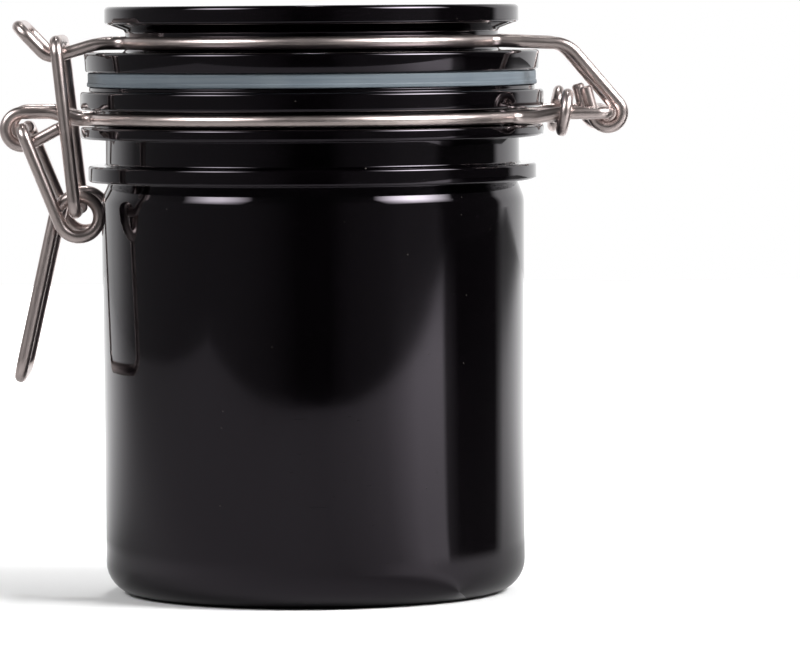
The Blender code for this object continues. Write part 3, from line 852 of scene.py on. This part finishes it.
def silicone_material(name):
    """Matt blue-grey silicone: faint moulding bands, fine grain and a little blooming."""
    material, nodes, links, shader = new_material(name)
    coords = nodes.new("ShaderNodeTexCoord")
    place = coords.outputs["Object"]
    cloud = noise(nodes, links, place, CLOUD_SCALE, 3.0)
    grain = noise(nodes, links, place, GRAIN_SCALE, 3.0)
    bands = nodes.new("ShaderNodeMapping")
    bands.inputs["Scale"].default_value = BAND_SQUASH
    links.new(place, bands.inputs["Vector"])
    band = noise(nodes, links, bands.outputs["Vector"], BAND_SCALE, 2.0)
    tone = mix_color(nodes, links, remap(nodes, links, band, *BAND_RANGE, 0.0, 1.0), *SILICONE_TONES)
    bloom = remap(nodes, links, cloud, *BLOOM_RANGE, 0.0, SILICONE_BLOOM_MOST)
    links.new(mix_color(nodes, links, bloom, tone, SILICONE_BLOOM_COLOR), shader.inputs["Base Color"])
    matt = remap(nodes, links, cloud, *CLOUD_ROUGH_RANGE, *SILICONE_ROUGHNESS)
    links.new(matt, shader.inputs["Roughness"])
    links.new(bump(nodes, links, grain, *GRAIN_BUMP), shader.inputs["Normal"])
    shader.inputs["IOR"].default_value = SILICONE_IOR
    return material


def bearing_ramp(nodes, links, place, levels):
    """Grey level read off a table by the bearing of a place round the Z axis."""
    axis = nodes.new("ShaderNodeSeparateXYZ")
    links.new(place, axis.inputs["Vector"])
    front = math_node(nodes, links, "MULTIPLY", axis.outputs["Y"], -1.0)
    bearing = math_node(nodes, links, "ARCTAN2", axis.outputs["X"], front)
    share = remap(nodes, links, bearing, -math.pi, math.pi, 0.0, 1.0)
    ramp = nodes.new("ShaderNodeValToRGB")
    links.new(share, ramp.inputs["Fac"])
    stops = ramp.color_ramp.elements
    for index, (degrees, level) in enumerate(levels):
        spot = degrees / 360.0 + 0.5
        stop = stops[index] if index < 2 else stops.new(spot)
        stop.position = spot
        stop.color = (level, level, level, 1.0)
    return ramp.outputs["Color"]


def floor_material():
    """Matt pale studio paper with a faint mottle; glossy rays see a painted reflection instead, grey levels
    painted by bearing from the two tables.
    """
    material, nodes, links, shader = new_material("studio_paper_painted_reflection")
    coords = nodes.new("ShaderNodeTexCoord")
    place = coords.outputs["Object"]
    mottle = noise(nodes, links, place, PAPER_MOTTLE_SCALE, 3.0)
    pale = mix_color(nodes, links, mottle, (PAPER_PALE,) * 3, (PAPER_PALE + PAPER_MOTTLE,) * 3)
    centred = nodes.new("ShaderNodeMapping")
    centred.vector_type = "TEXTURE"
    centred.inputs["Location"].default_value = BEARING_CENTRE
    links.new(place, centred.inputs["Vector"])
    # Painted reflection: grey levels by bearing, light and dark bands that glossy rays see in place of the
    # pale paper.
    far = bearing_ramp(nodes, links, centred.outputs["Vector"], PAINTED_REFLECTION_BY_BEARING)
    close = bearing_ramp(nodes, links, centred.outputs["Vector"], PAINTED_CLOSE_REFLECTION_BY_BEARING)
    reach = nodes.new("ShaderNodeVectorMath")
    reach.operation = "LENGTH"
    links.new(place, reach.inputs[0])
    apart = remap(nodes, links, reach.outputs["Value"], *CLOSE_REACH, 0.0, 1.0)
    mirrored = mix_color(nodes, links, apart, close, far)
    # Glossy rays get the painted reflection, every other ray gets the pale paper.
    path = nodes.new("ShaderNodeLightPath")
    tone = mix_color(nodes, links, path.outputs["Is Glossy Ray"], pale, mirrored)
    links.new(tone, shader.inputs["Base Color"])
    grain = noise(nodes, links, place, PAPER_GRAIN_SCALE, 2.0)
    links.new(remap(nodes, links, grain, 0.3, 0.7, *PAPER_ROUGHNESS), shader.inputs["Roughness"])
    links.new(bump(nodes, links, grain, *PAPER_GRAIN_BUMP), shader.inputs["Normal"])
    shader.inputs["Specular IOR Level"].default_value = PAPER_SPECULAR
    return material


def make_floor():
    """Flat sheet the canister stands on, cut into a grid; its front edge bows out in the middle."""
    left, front, right, back = FLOOR_EDGES
    mesh = bmesh.new()
    grid = []
    for row in range(FLOOR_ROWS + 1):
        line = []
        for column in range(FLOOR_COLUMNS + 1):
            x = left + (right - left) * column / FLOOR_COLUMNS
            bowed = front + FLOOR_BOW_SLOPE * (math.hypot(x, FLOOR_BOW_START) - FLOOR_BOW_START)
            line.append(mesh.verts.new((x, bowed + (back - bowed) * row / FLOOR_ROWS, -FLOOR_DROP)))
        grid.append(line)
    for row in range(FLOOR_ROWS):
        for column in range(FLOOR_COLUMNS):
            mesh.faces.new((grid[row][column], grid[row][column + 1],
                            grid[row + 1][column + 1], grid[row + 1][column]))
    floor = link_object("studio_floor", mesh)
    floor.data.materials.append(floor_material())


def make_camera():
    """Long-lens camera in front of the canister, level with its lid."""
    data = bpy.data.cameras.new("camera")
    data.sensor_width = CAMERA_SENSOR
    data.lens = CAMERA_LENS
    data.clip_start, data.clip_end = CAMERA_CLIP
    camera = bpy.data.objects.new("camera", data)
    turn = Matrix.Rotation(math.radians(-CAMERA_YAW_DEG), 4, "Z")
    tilt = Matrix.Rotation(math.radians(90.0 - CAMERA_PITCH_DEG), 4, "X")
    roll = Matrix.Rotation(math.radians(-CAMERA_ROLL_DEG), 4, "Z")
    camera.matrix_world = Matrix.Translation(CAMERA_PLACE) @ turn @ tilt @ roll
    bpy.context.scene.collection.objects.link(camera)
    bpy.context.scene.camera = camera


def softbox(name, place, size, power):
    """Rectangular area light aimed at the canister, fading toward its rim."""
    data = bpy.data.lights.new(name, "AREA")
    data.shape = "RECTANGLE"
    data.size, data.size_y = size
    data.energy = power
    data.use_nodes = True
    nodes = data.node_tree.nodes
    links = data.node_tree.links
    surface = nodes.new("ShaderNodeNewGeometry")
    axis = nodes.new("ShaderNodeSeparateXYZ")
    links.new(surface.outputs["Parametric"], axis.inputs["Vector"])
    shares = []
    for side in ("X", "Y"):
        rim = math_node(nodes, links, "PINGPONG", axis.outputs[side], 0.5)
        shares.append(remap(nodes, links, rim, 0.0, SOFTBOX_RIM, 0.0, 1.0))
    links.new(math_node(nodes, links, "MULTIPLY", shares[0], shares[1]), nodes["Emission"].inputs["Strength"])
    lamp = bpy.data.objects.new(name, data)
    lamp.location = place
    lamp.rotation_mode = "QUATERNION"
    lamp.rotation_quaternion = (Vector(SOFTBOX_TARGET) - Vector(place)).to_track_quat("-Z", "Y")
    bpy.context.scene.collection.objects.link(lamp)


def floor_spot():
    """Soft-edged spot straight down onto the floor behind the canister, which stays outside its cone."""
    data = bpy.data.lights.new("floor_spot", "SPOT")
    data.energy = FLOOR_SPOT_POWER
    data.spot_size = math.radians(FLOOR_SPOT_CONE_DEG)
    data.spot_blend = FLOOR_SPOT_SOFT_EDGE
    data.shadow_soft_size = FLOOR_SPOT_RADIUS
    lamp = bpy.data.objects.new("floor_spot", data)
    lamp.location = FLOOR_SPOT_PLACE
    bpy.context.scene.collection.objects.link(lamp)


def make_world():
    """White wall toward +Y, dim room elsewhere; the camera itself sees plain white past the floor."""
    world = bpy.data.worlds.new("studio")
    bpy.context.scene.world = world
    world.use_nodes = True
    nodes = world.node_tree.nodes
    links = world.node_tree.links
    background = nodes["Background"]
    coords = nodes.new("ShaderNodeTexCoord")
    direction = coords.outputs["Generated"]
    around = bearing_ramp(nodes, links, direction, ROOM_BY_BEARING)
    axis = nodes.new("ShaderNodeSeparateXYZ")
    links.new(direction, axis.inputs["Vector"])
    ceiling = remap(nodes, links, axis.outputs["Z"], *WALL_TOP, 0.0, 1.0)
    level = math_node(nodes, links, "MULTIPLY", around, WALL_BRIGHT)
    below = math_node(nodes, links, "SUBTRACT", 1.0, ceiling)
    walls = math_node(nodes, links, "MULTIPLY", level, below)
    above = math_node(nodes, links, "MULTIPLY", ceiling, CEILING_BRIGHT)
    lit = math_node(nodes, links, "ADD", walls, above)
    path = nodes.new("ShaderNodeLightPath")
    seen = path.outputs["Is Camera Ray"]
    unseen = math_node(nodes, links, "SUBTRACT", 1.0, seen)
    hidden = math_node(nodes, links, "MULTIPLY", lit, unseen)
    strength = math_node(nodes, links, "ADD", hidden, seen)
    background.inputs["Color"].default_value = (1.0, 1.0, 1.0, 1.0)
    links.new(strength, background.inputs["Strength"])


def main():
    """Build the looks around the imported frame."""
    make_camera()
    make_world()
    bpy.context.scene.view_settings.view_transform = "Standard"
    make_floor()
    for name, place, size, power in SOFTBOXES:
        softbox(name, place, size, power)
    floor_spot()

    black_jar = plastic_material("black_jar_gloss", 1.3)
    black_lid = plastic_material("black_lid_gloss", 4.1)
    pieces = [
        (make_jar(), "jar", "jar_body", "jar_plastic", black_jar),
        (make_lid(), "lid", "lid", "lid_plastic", black_lid),
        (make_gasket(), "lid", "gasket", "gasket_silicone", silicone_material("gasket_rubber")),
        (make_neck_wire(), "jar", "neck_wire", "neck_wire_steel", steel_material("neck_wire_drawn", 1.7)),
        (make_neck_tie(), "jar", "neck_tie", "neck_tie_steel", steel_material("neck_tie_drawn", 5.3)),
        (make_lid_wire(), "lid", "lid_wire", "lid_wire_steel", steel_material("lid_wire_drawn", 9.1)),
        (make_lever(), "lever", "clasp_lever", "clasp_lever_steel", steel_material("lever_drawn", 13.9)),
        (make_link(), "link", "clasp_link", "clasp_link_steel", steel_material("link_drawn", 17.2)),
    ]
    for piece, body, node, slot, material in pieces:
        piece.data.materials.append(material)
        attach(piece, body)
        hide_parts(node)


main()
